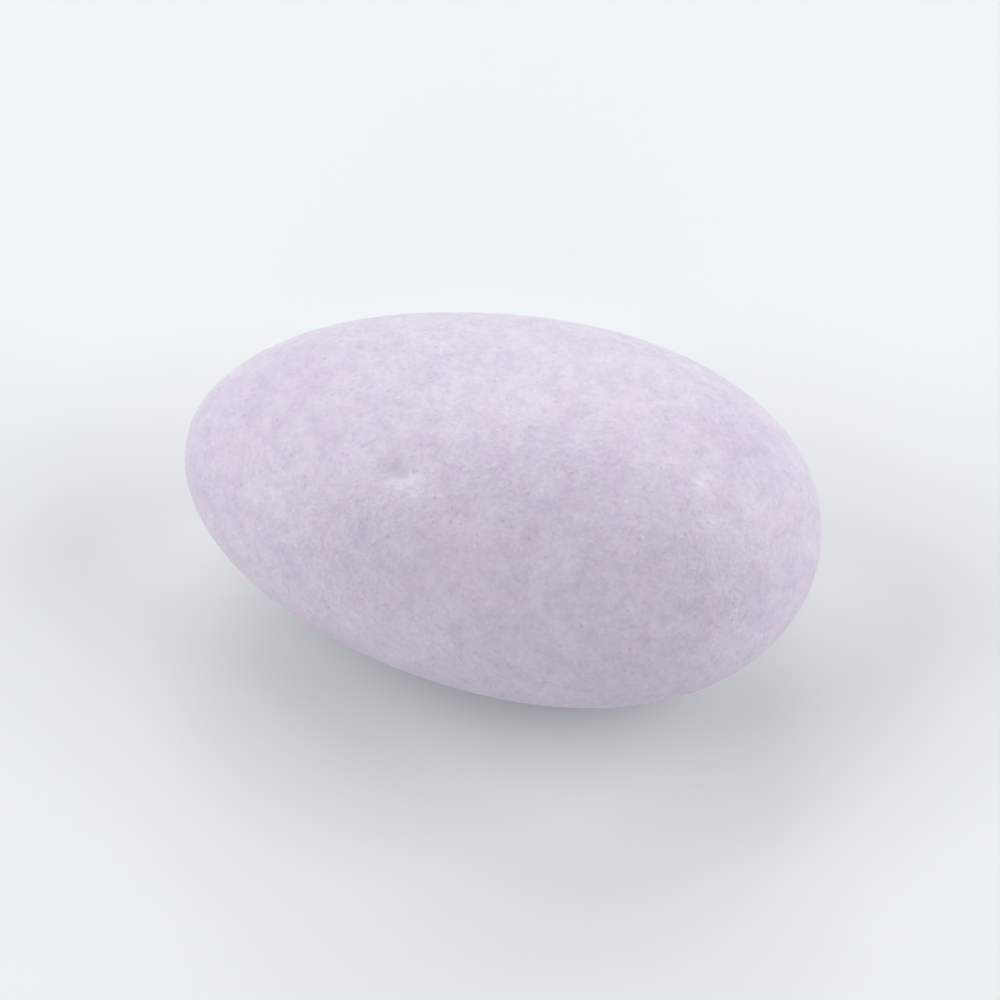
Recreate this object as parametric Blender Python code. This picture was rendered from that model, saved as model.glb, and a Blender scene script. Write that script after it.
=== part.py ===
"""A sugared almond: one whole almond in a thick matt sugar shell, lying on its flatter side.

The shell hides the kernel all over, so the sweet is one solid. It is an egg-ended oval, fuller at one
end than at the other, a little flatter than it is wide, and faintly uneven where the sugar built up
more on one side than on another. A small flat spot underneath is what it rests on.

Metres, +Z up. The origin is the middle of the sweet's outline, on the surface that it lies on. The long
axis is X, with the fuller end at +X. Sizes below are in millimetres.
"""

import math
import random

import bmesh
import bpy
from mathutils import Matrix, Vector

NAME = "sugared_almond"
MM = 0.001

# Driving sizes
LENGTH = 28.0
WIDTH = 17.15
THICKNESS = 14.0

# How the oval departs from an even one
FULLER_END = 0.114  # share by which the half-width grows towards +X, and shrinks towards -X
BLUNT_ENDS = 0.060  # share by which both ends are fuller than an ellipse's
SIDEWAYS_BOW = -0.19  # how far along Y the middle stands from a line through the tips
LYING_PITCH_DEG = 2.5  # nose-down turn that brings the centre of mass over the lowest point

# The shell's unevenness: low rises and shallow hollows, too soft to show in the outline. A place on the
# shell is given by how far along X it is on the unit sphere, and how far it is turned round X from +Y.
SWELL_COUNT = 9
SWELLS_TO_A_HOLLOW = 3  # every third one is a hollow
SWELL_HEIGHT = 0.07
LEAST_SWELL = 0.5  # the lowest one, as a share of the highest
SWELL_SPREAD = 0.34  # radius of one, as an angle in radians seen from the middle
SWELL_STRAY = 0.4  # how far, in radians round X, one may stray from its even place
SWELL_SEED = 7
GOLDEN_ANGLE = math.pi * (3.0 - math.sqrt(5.0))

# The crest, which parts the upper face from the front one: a soft crown towards the narrower end, a lower
# ridge behind the middle, and a shoulder towards the fuller end. Each has a place and a height.
CROWN_ALONG = -0.37
CROWN_TURN = math.radians(126.5)
CROWN_HEIGHT = 0.50
RIDGE_ALONG = 0.05
RIDGE_TURN = math.radians(101.0)
RIDGE_HEIGHT = 0.27
SHOULDER_ALONG = 0.66
SHOULDER_TURN = math.radians(104.0)
SHOULDER_HEIGHT = 0.22

# The spot that it rests on
REST_DEPTH = 0.12  # how much of the round underside the flat spot takes away

# Fineness of the mesh: each step past 1 splits every triangle of an icosahedron in four
SPHERE_STEPS = 5

# Finish
SHELL_LILAC = (0.600, 0.520, 0.640, 1.0)
SHELL_ROUGHNESS = 0.62


def clear_scene():
    """Empties the file of whatever it opened with."""
    for obj in list(bpy.data.objects):
        bpy.data.objects.remove(obj, do_unlink=True)


def unit_direction(along, turn):
    """The direction from the middle that is so far along X and is turned so far round it."""
    ring = math.sqrt(1.0 - along * along)
    return Vector((along, ring * math.cos(turn), ring * math.sin(turn)))


def swells():
    """The shell's rises and hollows, each as a direction from the middle and a height."""
    draw = random.Random(SWELL_SEED)
    found = [
        (unit_direction(CROWN_ALONG, CROWN_TURN), CROWN_HEIGHT),
        (unit_direction(RIDGE_ALONG, RIDGE_TURN), RIDGE_HEIGHT),
        (unit_direction(SHOULDER_ALONG, SHOULDER_TURN), SHOULDER_HEIGHT),
    ]
    for index in range(SWELL_COUNT):
        # Even steps along X and the golden angle round it spread them over the whole surface.
        along = 1.0 - 2.0 * (index + 0.5) / SWELL_COUNT
        turn = index * GOLDEN_ANGLE + draw.uniform(-SWELL_STRAY, SWELL_STRAY)
        height = SWELL_HEIGHT * draw.uniform(LEAST_SWELL, 1.0)
        if index % SWELLS_TO_A_HOLLOW == SWELLS_TO_A_HOLLOW - 1:
            height = -height
        found.append((unit_direction(along, turn), height))
    return found


def shell_point(direction, rises):
    """The point of the shell that belongs to a point of the unit sphere."""
    along, across, up = direction
    fullness = 1.0 + FULLER_END * along + BLUNT_ENDS * along * along
    sideways = SIDEWAYS_BOW * (1.0 - along * along)
    half_width = 0.5 * WIDTH * fullness
    half_thickness = 0.5 * THICKNESS * fullness
    point = Vector((0.5 * LENGTH * along, half_width * across + sideways, half_thickness * up))
    outward = Vector((along / LENGTH, across / WIDTH, up / THICKNESS)).normalized()
    for middle, height in rises:
        angle = direction.angle(middle)
        point += outward * height * math.exp(-((angle / SWELL_SPREAD) ** 2))
    return point


def cut_rest_spot(shape):
    """Cuts the underside off level, so that the sweet stands on a small flat spot."""
    lowest = min(vert.co.z for vert in shape.verts)
    level = Vector((0.0, 0.0, lowest + REST_DEPTH))
    geometry = shape.verts[:] + shape.edges[:] + shape.faces[:]
    cut = bmesh.ops.bisect_plane(
        shape, geom=geometry, plane_co=level, plane_no=(0.0, 0.0, -1.0), clear_outer=True
    )
    rim = [piece for piece in cut["geom_cut"] if isinstance(piece, bmesh.types.BMEdge)]
    bmesh.ops.contextual_create(shape, geom=rim)


def centre_on_rest_spot(shape):
    """Moves the sweet so that the middle of its outline, at the level it rests on, is the origin."""
    low = Vector([min(vert.co[axis] for vert in shape.verts) for axis in range(3)])
    high = Vector([max(vert.co[axis] for vert in shape.verts) for axis in range(3)])
    middle = (low + high) / 2.0
    bmesh.ops.translate(shape, verts=shape.verts, vec=(-middle.x, -middle.y, -low.z))


def almond_mesh():
    """The whole shell as one closed mesh in metres."""
    shape = bmesh.new()
    bmesh.ops.create_icosphere(shape, subdivisions=SPHERE_STEPS, radius=1.0)
    rises = swells()
    for vert in shape.verts:
        vert.co = shell_point(vert.co.normalized(), rises)
    # A positive turn about Y lowers +X, and the narrow end is at -X.
    pitch = Matrix.Rotation(math.radians(-LYING_PITCH_DEG), 4, "Y")
    bmesh.ops.transform(shape, matrix=pitch, verts=shape.verts)
    cut_rest_spot(shape)
    centre_on_rest_spot(shape)
    bmesh.ops.scale(shape, verts=shape.verts, vec=(MM, MM, MM))
    bmesh.ops.recalc_face_normals(shape, faces=shape.faces)
    mesh = bpy.data.meshes.new(NAME)
    shape.to_mesh(mesh)
    shape.free()
    mesh.shade_smooth()
    return mesh


def sugar_shell_material():
    """Matt lilac sugar."""
    material = bpy.data.materials.new("sugar_shell")
    material.use_nodes = True
    surface = material.node_tree.nodes["Principled BSDF"]
    surface.inputs["Base Color"].default_value = SHELL_LILAC
    surface.inputs["Roughness"].default_value = SHELL_ROUGHNESS
    surface.inputs["Metallic"].default_value = 0.0
    return material


def build():
    """Makes the sweet in a collection of its own."""
    clear_scene()
    collection = bpy.data.collections.new(NAME)
    bpy.context.scene.collection.children.link(collection)
    mesh = almond_mesh()
    mesh.materials.append(sugar_shell_material())
    collection.objects.link(bpy.data.objects.new(NAME, mesh))


build()
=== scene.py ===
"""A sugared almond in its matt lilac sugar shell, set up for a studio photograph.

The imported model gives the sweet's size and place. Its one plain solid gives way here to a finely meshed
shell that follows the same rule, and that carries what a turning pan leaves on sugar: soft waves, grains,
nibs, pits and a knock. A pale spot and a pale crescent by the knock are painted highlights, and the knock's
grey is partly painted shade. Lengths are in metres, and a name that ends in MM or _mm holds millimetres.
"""

import logging
import math
import random
from collections.abc import Mapping, Sequence
from dataclasses import dataclass, field
from enum import Enum

import bpy
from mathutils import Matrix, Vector


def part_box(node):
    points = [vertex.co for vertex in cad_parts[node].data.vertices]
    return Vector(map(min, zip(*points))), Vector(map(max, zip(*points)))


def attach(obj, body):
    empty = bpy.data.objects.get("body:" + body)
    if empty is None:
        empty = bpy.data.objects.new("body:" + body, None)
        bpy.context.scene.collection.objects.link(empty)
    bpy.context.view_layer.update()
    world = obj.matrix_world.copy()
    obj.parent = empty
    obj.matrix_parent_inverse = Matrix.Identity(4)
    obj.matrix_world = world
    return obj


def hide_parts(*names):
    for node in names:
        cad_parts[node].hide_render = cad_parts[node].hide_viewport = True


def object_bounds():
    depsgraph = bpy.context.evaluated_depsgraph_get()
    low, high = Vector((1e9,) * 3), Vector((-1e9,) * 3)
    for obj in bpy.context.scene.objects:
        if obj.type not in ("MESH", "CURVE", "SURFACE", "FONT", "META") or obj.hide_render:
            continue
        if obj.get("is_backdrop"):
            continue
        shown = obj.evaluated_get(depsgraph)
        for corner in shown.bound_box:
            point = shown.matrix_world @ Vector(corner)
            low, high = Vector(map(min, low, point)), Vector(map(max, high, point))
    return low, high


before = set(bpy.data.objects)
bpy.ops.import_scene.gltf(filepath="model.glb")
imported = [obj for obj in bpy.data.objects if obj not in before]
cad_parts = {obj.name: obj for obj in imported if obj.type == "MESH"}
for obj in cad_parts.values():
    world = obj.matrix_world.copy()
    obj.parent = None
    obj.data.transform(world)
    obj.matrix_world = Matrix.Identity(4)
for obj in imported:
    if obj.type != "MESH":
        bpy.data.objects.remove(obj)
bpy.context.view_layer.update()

LOG = logging.getLogger("sugared_almond")
MM = 0.001
CAD_NODE = "sugared_almond"
BODY = "root"

# Node types that the trees below use most
MATHS = "ShaderNodeMath"
VECTORS = "ShaderNodeVectorMath"
NOISE = "ShaderNodeTexNoise"
CELLS = "ShaderNodeTexVoronoi"
MAP = "ShaderNodeMapRange"
SPLIT = "ShaderNodeSeparateXYZ"
JOIN = "ShaderNodeCombineXYZ"
HERE = "GeometryNodeInputPosition"
MOVE = "GeometryNodeSetPosition"

# Sockets that share their names with others of their node, by number: a Mix node's colours, a Random Value
# node's plain numbers, and a Map Range node's vectors
MIX_A, MIX_B, MIX_RESULT = 6, 7, 2
RANDOM_LEAST, RANDOM_MOST, RANDOM_RESULT = 2, 3, 1
MAP_PLACE, MAP_FROM_LOW, MAP_FROM_HIGH, MAP_TO_LOW, MAP_TO_HIGH, MAP_RESULT = 6, 7, 8, 9, 10, 1

# Noise and random numbers run from nought to one. Taken round their middle they reach half a step either way,
# and a full swing makes that a whole one.
MIDDLE = 0.5
FULL_SWING = 2.0

# Names of the shell's attributes: how strong a nib (above zero) or pit (below) is, how strong the painted
# highlights are (a pale spot, and a crescent beside the knock), and how deep in the knock a point lies
NIB_ATTRIBUTE = "nib_or_pit"
PAINTED_HIGHLIGHT_ATTRIBUTE = "painted_highlight"
KNOCK_ATTRIBUTE = "knock"

Feed = float | Sequence[float] | bpy.types.NodeSocket | bpy.types.Node | bpy.types.Material | str
Feeds = Sequence[Feed] | Mapping[str | int, Feed]


class Socket(Enum):
    """What kind of value one of the shell tree's inputs takes."""

    NUMBER = "NodeSocketFloat"
    PLACE = "NodeSocketVector"
    COUNT = "NodeSocketInt"
    FINISH = "NodeSocketMaterial"


def linear(hex_colour: str) -> tuple[float, float, float, float]:
    """Turns an sRGB colour to linear light.

    Args:
        hex_colour: the colour as a hash and six hex digits.

    Returns:
        Red, green and blue in linear light, and an alpha of one.
    """
    shares = [int(hex_colour[start : start + 2], 16) / 255.0 for start in (1, 3, 5)]
    red, green, blue = (s / 12.92 if s <= 0.04045 else ((s + 0.055) / 1.055) ** 2.4 for s in shares)
    return red, green, blue, 1.0


def add_node(tree: bpy.types.NodeTree, kind: str, feeds: Feeds = (), **settings: object) -> bpy.types.Node:
    """Adds a node, makes its settings and feeds its inputs.

    Args:
        tree: the shader or geometry tree that the node joins.
        kind: the node's type.
        feeds: what goes into its inputs, in order or by name or number: a plain value, a socket to link
            from, or a node whose first output is linked.
        settings: the node's own properties.

    Returns:
        The new node.
    """
    node = tree.nodes.new(kind)
    for name, value in settings.items():
        setattr(node, name, value)
    for key, feed in feeds.items() if isinstance(feeds, Mapping) else enumerate(feeds):
        source = feed.outputs[0] if isinstance(feed, bpy.types.Node) else feed
        if isinstance(source, bpy.types.NodeSocket):
            tree.links.new(source, node.inputs[key])
        else:
            node.inputs[key].default_value = source
    return node


@dataclass(frozen=True)
class Mottle:
    """One size of unevenness in the colour or the gloss of the sugar.

    Attributes:
        width_mm: how wide a patch is.
        share: how far a strong patch carries the colour between its two tones, or the roughness up or down.
        seed: which of the endless patterns it is.
        octaves: how much finer detail the patches hold.
    """

    width_mm: float
    share: float
    seed: float
    octaves: float = 0.0


@dataclass(frozen=True)
class Crystals:
    """Tiny rounded sugar crystals, each a little paler or darker, and higher or lower, than the next.

    Attributes:
        width_mm: how far apart their middles are.
        reach: a crystal's radius as a share of that.
        share: how far the strongest carry the colour between its two tones.
        height_mm: how high the highest stand.
    """

    width_mm: float
    reach: float
    share: float
    height_mm: float


@dataclass(frozen=True)
class Flecks:
    """Small round dots strewn over the sugar.

    Attributes:
        spacing_mm: how far apart their places are.
        reach: a dot's radius as a share of the spacing.
        share_shown: how many of the places hold a dot.
        strength: how far a dot takes on its colour.
        colour: the dots' own colour.
        seed: which of the endless patterns they follow.
        core: how much of a dot's radius has the dot's full colour.
    """

    spacing_mm: float
    reach: float
    share_shown: float
    strength: float
    colour: str
    seed: float
    core: float = 0.3


@dataclass(frozen=True)
class HardPannedSugar:
    """Hard-panned sugar: coloured syrup dried on in many thin coats in a turning pan, left unpolished.

    Fine sugar crystals scatter the light, so it looks chalky, with only a broad pale glow and no mirror
    highlight. The colour gathers between the crystals as fine darker grains on a paler ground.
    """

    name: str = "hard_panned_sugar"

    # The two tones between which the sugar varies, the two hues of its faint clouds, the pale bloom of its
    # nibs, which is also the colour of the painted highlights, and the grey of the knock, partly painted
    # shade in its dent
    deep: str = "#B0A4B9"
    pale: str = "#E6DCEB"
    warm: str = "#DDBCD8"
    cool: str = "#C7D0DF"
    bloom_and_highlight: str = "#F9F8FD"
    knock_grey_and_shade: str = "#B0B0B9"

    # What the colour is made of, from the finest up. Real crystals are finer still: these are three or four
    # dots of the picture wide, so that they show.
    crystals: Crystals = Crystals(width_mm=0.15, reach=0.75, share=0.145, height_mm=0.016)
    grains: Mottle = Mottle(width_mm=0.18, share=0.15, seed=3.0)
    clumps: Mottle = Mottle(width_mm=0.40, share=0.20, seed=11.0, octaves=1.0)
    blotches: tuple[Mottle, ...] = (
        Mottle(width_mm=0.80, share=0.15, seed=23.0),
        Mottle(width_mm=1.6, share=0.10, seed=29.0),
        Mottle(width_mm=4.5, share=0.10, seed=31.0, octaves=1.0),
    )
    clouds: tuple[Mottle, ...] = (
        Mottle(width_mm=0.42, share=0.40, seed=41.0),
        Mottle(width_mm=0.95, share=0.60, seed=43.0),
        Mottle(width_mm=2.0, share=0.40, seed=45.0),
        Mottle(width_mm=4.2, share=0.25, seed=47.0),
    )
    cloud_share: float = 0.15  # how far the rosier and cooler clouds show
    flecks: tuple[Flecks, ...] = (
        Flecks(spacing_mm=0.42, reach=0.30, share_shown=0.45, strength=0.32, colour="#957FA7", seed=0.0),
        Flecks(spacing_mm=0.60, reach=0.22, share_shown=0.30, strength=0.22, colour="#F9F8FD", seed=40.0),
    )

    # How far each mark takes on its colour: the rub is a painted highlight, and the knock's grey is partly
    # painted shade
    nib_paleness: float = 0.18
    painted_highlight_paleness: float = 0.27
    knock_greyness: float = 0.55
    knock_edge: tuple[float, float] = (0.35, 0.95)  # the depths at which its grey starts and is full
    crumbling: float = 2.4  # how strongly the clumps break the marks up

    # How high the grains and clumps stand, which only the shading shows
    grain_relief_mm: float = 0.018
    clump_relief_mm: float = 0.042

    # Gloss: broad and weak, and worn unevenly
    roughness: float = 0.50
    wear: Mottle = Mottle(width_mm=0.8, share=0.10, seed=5.0, octaves=2.0)
    index_of_refraction: float = 1.54
    sheen: float = 0.05
    sheen_roughness: float = 0.5

    def patches(self, tree: bpy.types.NodeTree, place: Feed, mottle: Mottle) -> bpy.types.Node:
        """Draws one mottle as a number round zero.

        Args:
            tree: the material's tree.
            place: the Object coordinates.
            mottle: which size of patch to draw.

        Returns:
            A node whose output runs from about minus a half to a half.
        """
        scale = 1.0 / (mottle.width_mm * MM)
        feeds = {"Vector": place, "W": mottle.seed, "Scale": scale, "Detail": mottle.octaves}
        pattern = add_node(tree, NOISE, feeds, noise_dimensions="4D")
        return add_node(tree, MATHS, (pattern, MIDDLE), operation="SUBTRACT")

    def blend(self, tree: bpy.types.NodeTree, share: Feed, under: Feed, over: Feed) -> bpy.types.NodeSocket:
        """Lays one colour over another.

        Args:
            tree: the material's tree.
            share: how far the upper colour covers.
            under: the lower colour.
            over: the upper colour.

        Returns:
            The blended colour.
        """
        mix = add_node(tree, "ShaderNodeMix", {0: share, MIX_A: under, MIX_B: over}, data_type="RGBA")
        return mix.outputs[MIX_RESULT]

    def band(self, tree: bpy.types.NodeTree, value: Feed, start: float, end: float) -> bpy.types.Node:
        """Turns a number to a soft-edged mask.

        Args:
            tree: the material's tree.
            value: the number.
            start: where the mask is still nought.
            end: where it is full.

        Returns:
            The node that gives the mask.
        """
        limits = {"Value": value, "From Min": start, "From Max": end}
        return add_node(tree, MAP, limits, interpolation_type="SMOOTHSTEP")

    def crystal_field(self, tree: bpy.types.NodeTree, place: Feed) -> tuple[bpy.types.Node, bpy.types.Node]:
        """Draws the crystals.

        Args:
            tree: the material's tree.
            place: the Object coordinates.

        Returns:
            A tone from minus a half to a half, and a height from nought to one.
        """
        scale = 1.0 / (self.crystals.width_mm * MM)
        cells = add_node(tree, CELLS, {"Vector": place, "Scale": scale})
        dome = self.band(tree, cells.outputs["Distance"], self.crystals.reach, 0.0)
        chance, vigour, _ = add_node(tree, "ShaderNodeSeparateColor", (cells.outputs["Color"],)).outputs
        signed = add_node(tree, MATHS, (chance, MIDDLE), operation="SUBTRACT")
        tone = add_node(tree, MATHS, (signed, dome), operation="MULTIPLY")
        height = add_node(tree, MATHS, (vigour, dome), operation="MULTIPLY")
        return tone, height

    def total(
        self, tree: bpy.types.NodeTree, layers: Sequence[tuple[Feed, float]], start: float
    ) -> bpy.types.Node:
        """Adds up patterns that each count by their own share.

        Args:
            tree: the material's tree.
            layers: each pattern, a number round zero, and its share.
            start: what they are added to.

        Returns:
            The node that gives the sum.
        """
        total: Feed = start
        for pattern, share in layers:
            total = add_node(tree, MATHS, (pattern, share, total), operation="MULTIPLY_ADD")
        return total

    def flecked(
        self, tree: bpy.types.NodeTree, place: Feed, flecks: Flecks, colour: Feed
    ) -> bpy.types.NodeSocket:
        """Strews dots over the sugar.

        Args:
            tree: the material's tree.
            place: the Object coordinates.
            flecks: which dots.
            colour: the colour that they lie on.

        Returns:
            The colour with the dots.
        """
        moved = add_node(tree, VECTORS, (place, (flecks.seed * MM, 0.0, 0.0)), operation="ADD")
        scale = 1.0 / (flecks.spacing_mm * MM)
        cells = add_node(tree, CELLS, {"Vector": moved, "Scale": scale})
        dot = self.band(tree, cells.outputs["Distance"], flecks.reach, flecks.core * flecks.reach)
        chance, vigour, _ = add_node(tree, "ShaderNodeSeparateColor", (cells.outputs["Color"],)).outputs
        shown = add_node(tree, MATHS, (chance, flecks.share_shown), operation="LESS_THAN")
        strong = add_node(tree, MATHS, (vigour, flecks.strength), operation="MULTIPLY")
        there = add_node(tree, MATHS, (dot, shown), operation="MULTIPLY")
        share = add_node(tree, MATHS, (there, strong), operation="MULTIPLY")
        return self.blend(tree, share, colour, linear(flecks.colour))

    def marked(self, tree: bpy.types.NodeTree, place: Feed, colour: Feed) -> bpy.types.NodeSocket:
        """Adds the paler nibs, the painted highlights of the pale spot and the crescent, and the greyer
        knock, whose grey is partly painted shade.

        Args:
            tree: the material's tree.
            place: the Object coordinates.
            colour: the colour of the sound sugar.

        Returns:
            The colour with the marks.
        """
        nib, painted_highlight, knock = (
            add_node(tree, "ShaderNodeAttribute", attribute_name=name).outputs["Fac"]
            for name in (NIB_ATTRIBUTE, PAINTED_HIGHLIGHT_ATTRIBUTE, KNOCK_ATTRIBUTE)
        )
        crumbs = self.patches(tree, place, self.clumps)
        uneven = add_node(tree, MATHS, (crumbs, self.crumbling, 1.0), operation="MULTIPLY_ADD")
        for mask, strength, tone in (
            (nib, self.nib_paleness, self.bloom_and_highlight),
            # the pale spot and the crescent: painted highlights
            (painted_highlight, self.painted_highlight_paleness, self.bloom_and_highlight),
            # the knock's grey: partly painted shade in the dent
            (self.band(tree, knock, *self.knock_edge), self.knock_greyness, self.knock_grey_and_shade),
        ):
            broken = add_node(tree, MATHS, (mask, uneven), operation="MULTIPLY", use_clamp=True)
            share = add_node(tree, MATHS, (broken, strength), operation="MULTIPLY")
            colour = self.blend(tree, share, colour, linear(tone))
        return colour

    def material(self) -> bpy.types.Material:
        """Builds the finish.

        Returns:
            The material, which reads the shell's own attributes for its nibs, painted highlights and knock.
        """
        material = bpy.data.materials.new(self.name)
        material.use_nodes = True
        tree = material.node_tree
        surface = tree.nodes["Principled BSDF"]
        place = add_node(tree, "ShaderNodeTexCoord").outputs["Object"]
        facet_tone, facet_height = self.crystal_field(tree, place)
        grains = self.patches(tree, place, self.grains)
        clumps = self.patches(tree, place, self.clumps)

        layers = [(facet_tone, self.crystals.share), (grains, self.grains.share), (clumps, self.clumps.share)]
        layers += [(self.patches(tree, place, blotch), blotch.share) for blotch in self.blotches]
        tone = self.total(tree, [(pattern, FULL_SWING * share) for pattern, share in layers], MIDDLE)
        ground = self.blend(tree, tone, linear(self.deep), linear(self.pale))
        clouds = [(self.patches(tree, place, cloud), FULL_SWING * cloud.share) for cloud in self.clouds]
        hue = self.blend(tree, self.total(tree, clouds, MIDDLE), linear(self.warm), linear(self.cool))
        colour = self.blend(tree, self.cloud_share, ground, hue)
        for flecks in self.flecks:
            colour = self.flecked(tree, place, flecks, colour)
        tree.links.new(self.marked(tree, place, colour), surface.inputs["Base Color"])

        wear = self.patches(tree, place, self.wear)
        rough = self.total(tree, [(wear, FULL_SWING * self.wear.share)], self.roughness)
        tree.links.new(rough.outputs[0], surface.inputs["Roughness"])

        reliefs = (
            (facet_height, self.crystals.height_mm),
            (grains, self.grain_relief_mm),
            (clumps, self.clump_relief_mm),
        )
        height = self.total(tree, reliefs, 0.0)
        relief = add_node(tree, "ShaderNodeBump", {"Distance": MM, "Height": height})
        tree.links.new(relief.outputs[0], surface.inputs["Normal"])
        surface.inputs["IOR"].default_value = self.index_of_refraction
        surface.inputs["Sheen Weight"].default_value = self.sheen
        surface.inputs["Sheen Roughness"].default_value = self.sheen_roughness
        return material


@dataclass(frozen=True)
class Unevenness:
    """One size of soft unevenness in the shape of the sugar.

    Attributes:
        name: what it looks like.
        height: how far it stands out or in at its strongest.
        width: how wide one wave or grain of it is.
        seed: which of the endless patterns it is.
        octaves: how much finer detail it holds.
    """

    name: str
    height: float
    width: float
    seed: float
    octaves: float = 1.0


@dataclass(frozen=True)
class Rise:
    """One soft rise of the almond's crest.

    Attributes:
        name: what it looks like.
        along: how far along X its middle is on the unit sphere.
        turn: how far its middle is turned round X from +Y.
        height: how high it stands.
    """

    name: str
    along: float
    turn: float
    height: float


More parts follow.
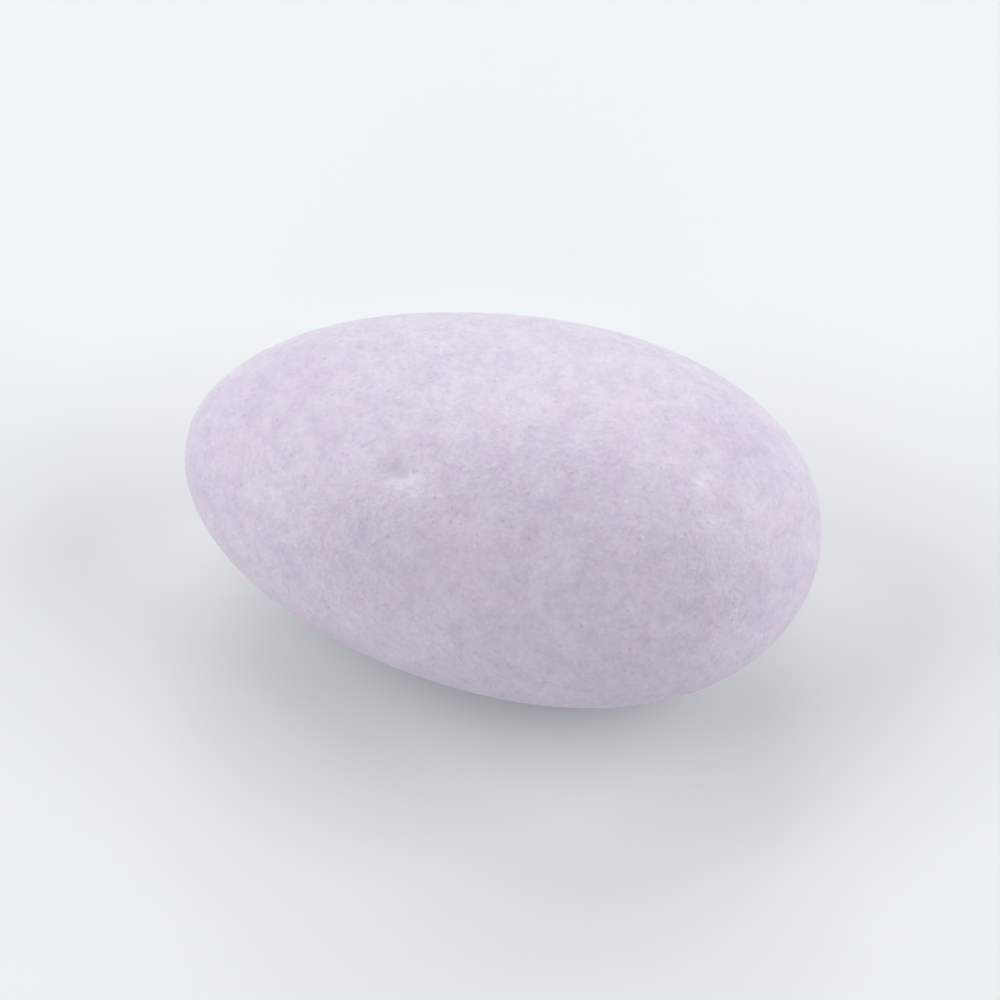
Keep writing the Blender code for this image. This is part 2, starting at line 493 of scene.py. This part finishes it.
@dataclass
class SugarShell:
    """The whole sweet: one closed shell of panned sugar on the almond rule.

    The rule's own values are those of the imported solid, and the result is fitted to that solid's box.
    """

    name: str = "almond_sugar_shell"
    finish: HardPannedSugar = field(default_factory=HardPannedSugar)
    squares_to_a_side: int = 128

    # The almond rule
    length: float = 28.0 * MM
    width: float = 17.15 * MM
    thickness: float = 14.0 * MM
    fuller_end: float = 0.114
    blunt_ends: float = 0.060
    sideways_bow: float = -0.19 * MM
    lying_pitch: float = math.radians(2.5)
    rest_depth: float = 0.12 * MM

    # Low rises and hollows where the sugar built up unevenly
    swell_count: int = 9
    swells_to_a_hollow: int = 3
    swell_height: float = 0.07 * MM
    least_swell: float = 0.5  # the lowest one's height, as a share of the highest's
    swell_spread: float = 0.34  # a rise's radius as an angle, in radians
    swell_stray: float = 0.4  # how far each may stray from an even turn, in radians
    swell_seed: int = 7

    # The crest, which parts the upper face from the front one
    crest: tuple[Rise, ...] = (
        Rise("Crown", along=-0.37, turn=math.radians(126.5), height=0.50 * MM),
        Rise("Ridge", along=0.05, turn=math.radians(101.0), height=0.27 * MM),
        Rise("Shoulder", along=0.66, turn=math.radians(104.0), height=0.22 * MM),
    )

    # Relief of the sugar itself
    unevenness: tuple[Unevenness, ...] = (
        Unevenness("Wave", height=0.030 * MM, width=2.3 * MM, seed=2.0),
        Unevenness("Orange Peel", height=0.018 * MM, width=1.0 * MM, seed=4.0),
        Unevenness("Grain", height=0.010 * MM, width=0.55 * MM, seed=6.0),
    )

    # Nibs and pits, scattered by a seeded draw
    nib_height: float = 0.022 * MM
    nib_radius: float = 0.24 * MM
    least_nib: float = 0.55  # the smallest one's radius, as a share of the largest's
    deepest_pit: float = 0.8  # its depth, as a share of the highest nib's height
    nib_spacing: float = 2.6 * MM
    nib_density: float = 22_000.0  # at most so many to the square metre
    nib_seed: int = 12
    nib_size_seed: int = 1
    nib_strength_seed: int = 2

    # The knock: a shallow ragged dent on the crown
    knock_place: Vector = field(default_factory=lambda: Vector((-3.52, -3.36, 13.19)) * MM)
    knock_radius: float = 0.58 * MM
    knock_raggedness: float = 0.9 * MM  # how far a coarse noise pulls its outline
    knock_tear: float = 0.9 * MM  # how wide that noise's patches are
    knock_depth: float = 0.11 * MM

    # Painted highlights: a pale spot towards the fuller end, and a pale crescent beside the knock, painted as
    # the lit wall of its dent
    painted_highlight_place: Vector = field(default_factory=lambda: Vector((9.05, -0.43, 13.21)) * MM)
    painted_highlight_radius: float = 0.42 * MM
    crescent_place: Vector = field(default_factory=lambda: Vector((-3.35, -3.62, 13.14)) * MM)
    crescent_radius: float = 0.68 * MM
    crescent_strength: float = 2.6
    crescent_cut: float = 1.4  # how much the knock takes off it

    # Relief fades out below this height above what the sweet lies on, so that it rests flat
    calm_below: float = 0.5 * MM

    def unit_direction(self, along: float, turn: float) -> Vector:
        """Gives a direction from the middle.

        Args:
            along: how far along X it is on the unit sphere.
            turn: how far it is turned round X from +Y.

        Returns:
            A vector of length one.
        """
        ring = math.sqrt(1.0 - along * along)
        return Vector((along, ring * math.cos(turn), ring * math.sin(turn)))

    def swells(self) -> list[tuple[Vector, float]]:
        """Places the shell's low rises and hollows.

        Returns:
            For each, a direction from the middle, and a share of the swell height.
        """
        draw = random.Random(self.swell_seed)
        golden_angle = math.pi * (3.0 - math.sqrt(5.0))
        found = []
        for index in range(self.swell_count):
            along = 1.0 - 2.0 * (index + 0.5) / self.swell_count
            turn = index * golden_angle + draw.uniform(-self.swell_stray, self.swell_stray)
            share = draw.uniform(self.least_swell, 1.0)
            if index % self.swells_to_a_hollow == self.swells_to_a_hollow - 1:
                share = -share
            found.append((self.unit_direction(along, turn), share))
        return found

    def values(self) -> dict[str, tuple[Socket, object]]:
        """Names the shell tree's inputs.

        Returns:
            The kind and the value of each.
        """
        low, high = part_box(CAD_NODE)
        values = {
            "Vertices To A Side": (Socket.COUNT, self.squares_to_a_side + 1),
            "Length": (Socket.NUMBER, self.length),
            "Width": (Socket.NUMBER, self.width),
            "Thickness": (Socket.NUMBER, self.thickness),
            "Fuller End": (Socket.NUMBER, self.fuller_end),
            "Blunt Ends": (Socket.NUMBER, self.blunt_ends),
            "Sideways Bow": (Socket.NUMBER, self.sideways_bow),
            "Lying Pitch": (Socket.NUMBER, self.lying_pitch),
            "Rest Depth": (Socket.NUMBER, self.rest_depth),
            "Box Low": (Socket.PLACE, low),
            "Box High": (Socket.PLACE, high),
            "Swell Height": (Socket.NUMBER, self.swell_height),
            "Swell Spread": (Socket.NUMBER, self.swell_spread),
            "Nib Height": (Socket.NUMBER, self.nib_height),
            "Nib Radius": (Socket.NUMBER, self.nib_radius),
            "Least Nib": (Socket.NUMBER, self.least_nib),
            "Deepest Pit": (Socket.NUMBER, -self.deepest_pit),
            "Nib Spacing": (Socket.NUMBER, self.nib_spacing),
            "Nib Density": (Socket.NUMBER, self.nib_density),
            "Nib Seed": (Socket.COUNT, self.nib_seed),
            "Knock Place": (Socket.PLACE, self.knock_place),
            "Knock Radius": (Socket.NUMBER, self.knock_radius),
            "Knock Raggedness": (Socket.NUMBER, self.knock_raggedness),
            "Knock Tear": (Socket.NUMBER, self.knock_tear),
            "Knock Depth": (Socket.NUMBER, self.knock_depth),
            "Rub Place": (Socket.PLACE, self.painted_highlight_place),
            "Painted Highlight Radius": (Socket.NUMBER, self.painted_highlight_radius),
            "Crescent Place": (Socket.PLACE, self.crescent_place),
            "Crescent Radius": (Socket.NUMBER, self.crescent_radius),
            "Crescent Strength": (Socket.NUMBER, self.crescent_strength),
            "Calm Below": (Socket.NUMBER, self.calm_below),
            "Sugar": (Socket.FINISH, self.finish.material()),
        }
        for unevenness in self.unevenness:
            values[unevenness.name + " Height"] = (Socket.NUMBER, unevenness.height)
            values[unevenness.name + " Width"] = (Socket.NUMBER, unevenness.width)
        for rise in self.crest:
            values[rise.name + " Place"] = (Socket.PLACE, self.unit_direction(rise.along, rise.turn))
            values[rise.name + " Height"] = (Socket.NUMBER, rise.height)
        return values

    def bell(self, tree: bpy.types.NodeTree, distance: Feed, radius: Feed) -> bpy.types.Node:
        """Draws a bell that is one at its middle and near zero at twice its radius.

        Args:
            tree: the shell tree.
            distance: how far a point is from the bell's middle.
            radius: the bell's radius.

        Returns:
            The node that gives its height.
        """
        share = add_node(tree, MATHS, (distance, radius), operation="DIVIDE")
        squared = add_node(tree, MATHS, (share, share), operation="MULTIPLY")
        falling = add_node(tree, MATHS, (squared, -1.0), operation="MULTIPLY")
        return add_node(tree, MATHS, (falling,), operation="EXPONENT")

    def swell(
        self, tree: bpy.types.NodeTree, given: bpy.types.NodeOutputs, unit: bpy.types.Node, middle: Feed
    ) -> bpy.types.Node:
        """Draws one rise over the unit sphere.

        Args:
            tree: the shell tree.
            given: the tree's inputs.
            unit: the node that gives the point of the unit sphere.
            middle: the direction of the rise's middle.

        Returns:
            The node that gives its height, up to one.
        """
        nearness = add_node(tree, VECTORS, (unit, middle), operation="DOT_PRODUCT").outputs["Value"]
        angle = add_node(tree, MATHS, (nearness,), operation="ARCCOSINE")
        return self.bell(tree, angle, given["Swell Spread"])

    def build_up(
        self, tree: bpy.types.NodeTree, given: bpy.types.NodeOutputs, unit: bpy.types.Node
    ) -> bpy.types.Node:
        """Adds up the rises and hollows over a point of the unit sphere.

        Args:
            tree: the shell tree.
            given: the tree's inputs.
            unit: the node that gives the point of the unit sphere.

        Returns:
            The node that gives the height that they add.
        """
        total: Feed = 0.0
        for middle, share in self.swells():
            swell = self.swell(tree, given, unit, middle)
            total = add_node(tree, MATHS, (swell, share, total), operation="MULTIPLY_ADD")
        total = add_node(tree, MATHS, (total, given["Swell Height"]), operation="MULTIPLY")
        for rise in self.crest:
            place, height = given[rise.name + " Place"], given[rise.name + " Height"]
            swell = self.swell(tree, given, unit, place)
            total = add_node(tree, MATHS, (swell, height, total), operation="MULTIPLY_ADD")
        return total

    def almond(self, tree: bpy.types.NodeTree, given: bpy.types.NodeOutputs) -> bpy.types.Node:
        """Turns a cube's grid to the almond.

        Args:
            tree: the shell tree.
            given: the tree's inputs.

        Returns:
            The node that gives the almond, level and round its own middle.
        """
        side = given["Vertices To A Side"]
        cube = add_node(
            tree,
            "GeometryNodeMeshCube",
            {"Size": (2.0, 2.0, 2.0), "Vertices X": side, "Vertices Y": side, "Vertices Z": side},
        )
        # The cube reaches one each way. Equal steps of angle across each side keep the squares alike once it
        # is round.
        corner = add_node(tree, HERE)
        turned = add_node(tree, VECTORS, {0: corner, "Scale": math.pi / 4.0}, operation="SCALE")
        spaced = add_node(tree, VECTORS, (turned,), operation="TANGENT")
        unit = add_node(tree, VECTORS, (spaced,), operation="NORMALIZE")
        along = add_node(tree, SPLIT, (unit,)).outputs["X"]
        squared = add_node(tree, MATHS, (along, along), operation="MULTIPLY")
        lean = add_node(tree, MATHS, (along, given["Fuller End"], 1.0), operation="MULTIPLY_ADD")
        fullness = add_node(tree, MATHS, (squared, given["Blunt Ends"], lean), operation="MULTIPLY_ADD")
        sizes = add_node(tree, JOIN, (given["Length"], given["Width"], given["Thickness"]))
        half = add_node(tree, VECTORS, {0: sizes, "Scale": 0.5}, operation="SCALE")
        swelling = add_node(tree, JOIN, (1.0, fullness, fullness))
        full = add_node(tree, VECTORS, (half, swelling), operation="MULTIPLY")
        oval = add_node(tree, VECTORS, (unit, full), operation="MULTIPLY")
        middle = add_node(tree, MATHS, (1.0, squared), operation="SUBTRACT")
        sideways = add_node(tree, MATHS, (middle, given["Sideways Bow"]), operation="MULTIPLY")
        bow = add_node(tree, JOIN, (0.0, sideways, 0.0))
        bowed = add_node(tree, VECTORS, (oval, bow), operation="ADD")
        slope = add_node(tree, VECTORS, (unit, sizes), operation="DIVIDE")
        outward = add_node(tree, VECTORS, (slope,), operation="NORMALIZE")
        build_up = self.build_up(tree, given, unit)
        rise = add_node(tree, VECTORS, {0: outward, "Scale": build_up}, operation="SCALE")
        place = add_node(tree, VECTORS, (bowed, rise), operation="ADD")
        return add_node(tree, MOVE, {"Geometry": cube, "Position": place})

    def settle(
        self, tree: bpy.types.NodeTree, given: bpy.types.NodeOutputs, shape: bpy.types.Node
    ) -> bpy.types.Node:
        """Lays the almond down on its flat spot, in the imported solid's box.

        Args:
            tree: the shell tree.
            given: the tree's inputs.
            shape: the node that gives the level almond.

        Returns:
            The node that gives the almond where it lies.
        """
        pitch = add_node(tree, MATHS, (given["Lying Pitch"], -1.0), operation="MULTIPLY")
        turn = add_node(tree, JOIN, (0.0, pitch, 0.0))
        leaning = add_node(tree, "GeometryNodeTransform", {"Geometry": shape, "Rotation": turn})
        box = add_node(tree, "GeometryNodeBoundBox", (leaning,))
        lowest = add_node(tree, SPLIT, (box.outputs["Min"],)).outputs["Z"]
        level = add_node(tree, MATHS, (lowest, given["Rest Depth"]), operation="ADD")
        here = add_node(tree, HERE)
        x, y, z = add_node(tree, SPLIT, (here,)).outputs
        held = add_node(tree, MATHS, (z, level), operation="MAXIMUM")
        flat = add_node(tree, JOIN, (x, y, held))
        resting = add_node(tree, MOVE, {"Geometry": leaning, "Position": flat})

        own = add_node(tree, "GeometryNodeBoundBox", (resting,))
        fitted = add_node(
            tree,
            MAP,
            {
                MAP_PLACE: add_node(tree, HERE),
                MAP_FROM_LOW: own.outputs["Min"],
                MAP_FROM_HIGH: own.outputs["Max"],
                MAP_TO_LOW: given["Box Low"],
                MAP_TO_HIGH: given["Box High"],
            },
            data_type="FLOAT_VECTOR",
            clamp=False,
        )
        position = fitted.outputs[MAP_RESULT]
        return add_node(tree, MOVE, {"Geometry": resting, "Position": position})

    def nibs(
        self, tree: bpy.types.NodeTree, given: bpy.types.NodeOutputs, shape: bpy.types.Node
    ) -> bpy.types.Node:
        """Draws the scattered nibs and pits.

        Args:
            tree: the shell tree.
            given: the tree's inputs.
            shape: the node that gives the almond where it lies.

        Returns:
            The node that gives a nib's strength, up to one, or a pit's, below zero.
        """
        scatter = add_node(
            tree,
            "GeometryNodeDistributePointsOnFaces",
            {
                "Mesh": shape,
                "Distance Min": given["Nib Spacing"],
                "Density Max": given["Nib Density"],
                "Seed": given["Nib Seed"],
            },
            distribute_method="POISSON",
        )
        place = add_node(tree, HERE)
        nearest = add_node(tree, "GeometryNodeSampleNearest", {"Geometry": scatter, "Sample Position": place})
        nearness = add_node(tree, "GeometryNodeProximity", (scatter,), target_element="POINTS")
        size, strength = (
            add_node(
                tree,
                "FunctionNodeRandomValue",
                {"ID": nearest, "Seed": seed, RANDOM_LEAST: least, RANDOM_MOST: 1.0},
                data_type="FLOAT",
            ).outputs[RANDOM_RESULT]
            for seed, least in (
                (self.nib_size_seed, given["Least Nib"]),
                (self.nib_strength_seed, given["Deepest Pit"]),
            )
        )
        radius = add_node(tree, MATHS, (size, given["Nib Radius"]), operation="MULTIPLY")
        bump = self.bell(tree, nearness.outputs["Distance"], radius)
        return add_node(tree, MATHS, (bump, strength), operation="MULTIPLY")

    def spot(self, tree: bpy.types.NodeTree, place: Feed, middle: Feed, radius: Feed) -> bpy.types.Node:
        """Draws a bell round a point of the surface.

        Args:
            tree: the shell tree.
            place: where the surface is.
            middle: where the bell's middle is.
            radius: the bell's radius.

        Returns:
            The node that gives the bell, up to one.
        """
        apart = add_node(tree, VECTORS, (place, middle), operation="DISTANCE").outputs["Value"]
        return self.bell(tree, apart, radius)

    def wear(
        self, tree: bpy.types.NodeTree, given: bpy.types.NodeOutputs, place: Feed
    ) -> tuple[bpy.types.Node, bpy.types.Node]:
        """Draws the knock, whose outline a coarse noise pulls out of round, and the painted highlights: a
        pale spot and a crescent beside the knock.

        Args:
            tree: the shell tree.
            given: the tree's inputs.
            place: where the surface is.

        Returns:
            The knock, up to one, and how strong the painted highlights are.
        """
        scale = add_node(tree, MATHS, (1.0, given["Knock Tear"]), operation="DIVIDE")
        torn = add_node(tree, NOISE, {"Vector": place, "Scale": scale}).outputs["Color"]
        pulled = add_node(tree, VECTORS, (torn, (MIDDLE, MIDDLE, MIDDLE)), operation="SUBTRACT")
        spread = add_node(tree, VECTORS, {0: pulled, "Scale": given["Knock Raggedness"]}, operation="SCALE")
        ragged = add_node(tree, VECTORS, (place, spread), operation="ADD")
        knock = self.spot(tree, ragged, given["Knock Place"], given["Knock Radius"])
        beside = self.spot(tree, ragged, given["Crescent Place"], given["Crescent Radius"])
        # the crescent, a painted highlight on the dent's lit wall, with the knock itself cut out of it
        crescent_less_knock = add_node(tree, MATHS, (knock, -self.crescent_cut, beside), operation="MULTIPLY_ADD")
        crescent = add_node(tree, MATHS, (crescent_less_knock, 0.0), operation="MAXIMUM")
        # the pale spot: a painted highlight
        painted_highlight = self.spot(tree, place, given["Rub Place"], given["Painted Highlight Radius"])
        painted_highlights = (crescent, given["Crescent Strength"], painted_highlight)
        return knock, add_node(tree, MATHS, painted_highlights, operation="MULTIPLY_ADD")

    def relief(
        self, tree: bpy.types.NodeTree, given: bpy.types.NodeOutputs, nib: Feed, knock: Feed
    ) -> bpy.types.Node:
        """Adds up all that stands out of the smooth almond or is sunk into it.

        Args:
            tree: the shell tree.
            given: the tree's inputs.
            nib: how strong a nib or pit is.
            knock: how deep in the knock a point is.

        Returns:
            The node that gives the height above the almond, nought where the sweet rests.
        """
        place = add_node(tree, HERE)
        depth = add_node(tree, MATHS, (given["Knock Depth"], -1.0), operation="MULTIPLY")
        total = add_node(tree, MATHS, (knock, depth), operation="MULTIPLY")
        total = add_node(tree, MATHS, (nib, given["Nib Height"], total), operation="MULTIPLY_ADD")
        for unevenness in self.unevenness:
            scale = add_node(tree, MATHS, (1.0, given[unevenness.name + " Width"]), operation="DIVIDE")
            pattern = add_node(
                tree,
                NOISE,
                {"Vector": place, "W": unevenness.seed, "Scale": scale, "Detail": unevenness.octaves},
                noise_dimensions="4D",
            )
            swing = (pattern, FULL_SWING, -FULL_SWING * MIDDLE)
            signed = add_node(tree, MATHS, swing, operation="MULTIPLY_ADD")
            height = given[unevenness.name + " Height"]
            total = add_node(tree, MATHS, (signed, height, total), operation="MULTIPLY_ADD")
        level = add_node(tree, SPLIT, (place,)).outputs["Z"]
        limits = {"Value": level, "From Min": 0.0, "From Max": given["Calm Below"]}
        calm = add_node(tree, MAP, limits, interpolation_type="SMOOTHSTEP")
        return add_node(tree, MATHS, (total, calm), operation="MULTIPLY")

    def tree(self, values: Mapping[str, tuple[Socket, object]]) -> bpy.types.NodeTree:
        """Builds the Geometry Nodes tree that makes the shell.

        Args:
            values: the kind and the value of each of its inputs.

        Returns:
            The tree.
        """
        tree = bpy.data.node_groups.new("panned_almond", "GeometryNodeTree")
        tree.interface.new_socket("Shell", in_out="OUTPUT", socket_type="NodeSocketGeometry")
        for name, (kind, _) in values.items():
            tree.interface.new_socket(name, in_out="INPUT", socket_type=kind.value)
        given = add_node(tree, "NodeGroupInput").outputs
        shape = self.settle(tree, given, self.almond(tree, given))

        place = add_node(tree, HERE)
        nib = self.nibs(tree, given, shape)
        knock, painted_highlight = self.wear(tree, given, place)
        relief = self.relief(tree, given, nib, knock)
        for name, mark in ((NIB_ATTRIBUTE, nib), (PAINTED_HIGHLIGHT_ATTRIBUTE, painted_highlight), (KNOCK_ATTRIBUTE, knock)):
            shape = add_node(
                tree,
                "GeometryNodeStoreNamedAttribute",
                {"Geometry": shape, "Name": name, "Value": mark},
                data_type="FLOAT",
                domain="POINT",
            )
        normal = add_node(tree, "GeometryNodeInputNormal")
        offset = add_node(tree, VECTORS, {0: normal, "Scale": relief}, operation="SCALE")
        raised = add_node(tree, MOVE, {"Geometry": shape, "Offset": offset})
        smooth = add_node(tree, "GeometryNodeSetShadeSmooth", {"Geometry": raised})
        plain = add_node(tree, "GeometryNodeRealizeInstances", {"Geometry": smooth})
        dressed = add_node(tree, "GeometryNodeSetMaterial", {"Geometry": plain, "Material": given["Sugar"]})
        add_node(tree, "NodeGroupOutput", (dressed,))
        return tree

    def build(self) -> bpy.types.Object:
        """Makes the shell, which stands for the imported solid.

        Returns:
            The shell as a plain mesh object at the origin.
        """
        values = self.values()
        tree = self.tree(values)
        grower = bpy.data.objects.new(self.name + "_grower", bpy.data.meshes.new("grower"))
        bpy.context.scene.collection.objects.link(grower)
        modifier = grower.modifiers.new("panned_almond", "NODES")
        modifier.node_group = tree
        for item in tree.interface.items_tree:
            if item.in_out == "INPUT":
                modifier[item.identifier] = values[item.name][1]
        grown = grower.evaluated_get(bpy.context.evaluated_depsgraph_get())
        mesh = bpy.data.meshes.new_from_object(grown)
        mesh.name = self.name
        # The tree leaves an empty slot ahead of the sugar's.
        mesh.materials.pop(index=0)
        grower.modifiers.remove(modifier)
        bpy.data.objects.remove(grower, do_unlink=True)
        shell = bpy.data.objects.new(self.name, mesh)
        bpy.context.scene.collection.objects.link(shell)
        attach(shell, BODY)
        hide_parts(CAD_NODE)
        return shell


def direction(azimuth_deg: float, elevation_deg: float) -> Vector:
    """Gives the way from the sweet to something that stands round it.

    Args:
        azimuth_deg: zero on the side of -Y, growing towards +X.
        elevation_deg: the angle above the level.

    Returns:
        A vector of length one.
    """
    azimuth, elevation = math.radians(azimuth_deg), math.radians(elevation_deg)
    level = math.cos(elevation)
    return Vector((math.sin(azimuth) * level, -math.cos(azimuth) * level, math.sin(elevation)))


@dataclass(frozen=True)
class Softbox:
    """A soft studio light that faces the sweet.

    Attributes:
        name: where the light stands.
        azimuth_deg: the same round the sweet, zero on the side of -Y and growing towards +X.
        elevation_deg: how high it stands.
        power: in watts.
        colour: its light's colour.
        width: its face's width.
        height: its face's height.
        distance: how far its face is from the sweet.
    """

    name: str
    azimuth_deg: float
    elevation_deg: float
    power: float
    colour: str = "#FFFFFF"
    width: float = 0.50
    height: float = 0.50
    distance: float = 0.60

    def build(self, target: Vector) -> bpy.types.Object:
        """Hangs the light, turned to the target.

        Args:
            target: the point that it faces.

        Returns:
            The light.
        """
        data = bpy.data.lights.new(self.name, "AREA")
        data.shape = "RECTANGLE"
        data.size = self.width
        data.size_y = self.height
        data.energy = self.power
        data.color = linear(self.colour)[:3]
        light = bpy.data.objects.new(self.name, data)
        bpy.context.scene.collection.objects.link(light)
        outward = direction(self.azimuth_deg, self.elevation_deg)
        light.location = target + outward * self.distance
        light.rotation_mode = "QUATERNION"
        light.rotation_quaternion = (-outward).to_track_quat("-Z", "Y")
        return light


@dataclass(frozen=True)
class BackgroundPaper:
    """Uncoated white background paper off a roll: pressed wood fibre, which looks even and has no shine."""

    name: str = "white_background_paper"
    colour: str = "#E4E8E9"
    roughness: float = 0.7

    def material(self) -> bpy.types.Material:
        """Builds the finish.

        Returns:
            The material.
        """
        material = bpy.data.materials.new(self.name)
        material.use_nodes = True
        surface = material.node_tree.nodes["Principled BSDF"]
        surface.inputs["Base Color"].default_value = linear(self.colour)
        surface.inputs["Roughness"].default_value = self.roughness
        return material


@dataclass(frozen=True)
class Studio:
    """The pale floor, the soft lights and the camera."""

    paper: BackgroundPaper = BackgroundPaper()
    floor_radius: float = 1.6
    floor_corners: int = 96
    floor_gap: float = 0.02 * MM  # keeps the floor clear of the flat spot
    room_colour: str = "#E9EFEF"
    room_light: float = 0.01
    camera_azimuth_deg: float = 15.6
    camera_elevation_deg: float = 57.5
    camera_lens_mm: float = 400.0
    camera_sensor_mm: float = 36.0
    frame_width: float = 43.0 * MM
    softboxes: tuple[Softbox, ...] = (
        Softbox("back", azimuth_deg=180.0, elevation_deg=20.0, power=1.19, colour="#FCFFFD"),
        Softbox("back_left", azimuth_deg=-150.0, elevation_deg=40.0, power=1.61, colour="#FCFFFD"),
        Softbox("left", azimuth_deg=-75.0, elevation_deg=30.0, power=3.03, height=0.70),
        Softbox("right", azimuth_deg=105.0, elevation_deg=27.0, power=2.97, height=0.60),
        Softbox("front", azimuth_deg=15.0, elevation_deg=21.0, power=1.07, height=0.60, colour="#FFFBFD"),
        Softbox("overhead", azimuth_deg=0.0, elevation_deg=90.0, power=0.24),
    )

    def floor(self, level: float) -> bpy.types.Object:
        """Lays the floor.

        Args:
            level: the height of what stands on it.

        Returns:
            The floor.
        """
        turns = [2.0 * math.pi * step / self.floor_corners for step in range(self.floor_corners)]
        reach = self.floor_radius
        corners = [(reach * math.cos(turn), reach * math.sin(turn), level - self.floor_gap) for turn in turns]
        mesh = bpy.data.meshes.new("floor")
        mesh.from_pydata(corners, [], [tuple(range(self.floor_corners))])
        mesh.materials.append(self.paper.material())
        floor = bpy.data.objects.new("floor", mesh)
        bpy.context.scene.collection.objects.link(floor)
        floor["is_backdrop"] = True
        return floor

    def room(self) -> bpy.types.World:
        """Fills the room with a little even light, and closes the view beyond the floor with a pale wall.

        Returns:
            The world.
        """
        world = bpy.data.worlds.new("room")
        world.use_nodes = True
        tree = world.node_tree
        lighting = tree.nodes["Background"]
        lighting.inputs["Color"].default_value = linear(self.room_colour)
        lighting.inputs["Strength"].default_value = self.room_light
        wall = add_node(tree, "ShaderNodeBackground", {"Color": linear(self.room_colour)})
        seen = add_node(tree, "ShaderNodeLightPath").outputs["Is Camera Ray"]
        chosen = add_node(tree, "ShaderNodeMixShader", (seen, lighting, wall))
        tree.links.new(chosen.outputs[0], tree.nodes["World Output"].inputs["Surface"])
        bpy.context.scene.world = world
        return world

    def camera(self, target: Vector) -> bpy.types.Object:
        """Sets the camera up where the photograph was taken from.

        Args:
            target: the point at the middle of the picture.

        Returns:
            The camera.
        """
        data = bpy.data.cameras.new("camera")
        data.lens = self.camera_lens_mm
        data.sensor_width = self.camera_sensor_mm
        camera = bpy.data.objects.new("camera", data)
        bpy.context.scene.collection.objects.link(camera)
        outward = direction(self.camera_azimuth_deg, self.camera_elevation_deg)
        camera.location = target + outward * (self.frame_width * self.camera_lens_mm / self.camera_sensor_mm)
        camera.rotation_mode = "QUATERNION"
        camera.rotation_quaternion = (-outward).to_track_quat("-Z", "Y")
        bpy.context.scene.camera = camera
        return camera

    def build(self, low: Vector, high: Vector) -> None:
        """Sets everything up round the sweet.

        Args:
            low: the lowest corner of the sweet's box.
            high: its highest corner.
        """
        middle = (low + high) / 2.0
        self.room()
        self.floor(low.z)
        for softbox in self.softboxes:
            softbox.build(middle)
        self.camera(middle)
        bpy.context.scene.view_settings.view_transform = "Standard"


def main() -> None:
    """Builds the sweet and its studio, and reports each piece."""
    logging.basicConfig(level=logging.INFO, format="%(message)s")
    shell = SugarShell().build()
    LOG.info("%s: %d faces", shell.name, len(shell.data.polygons))
    low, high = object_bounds()
    studio = Studio()
    studio.build(low, high)
    LOG.info("studio: %d softboxes", len(studio.softboxes))


if __name__ == "__main__":
    main()
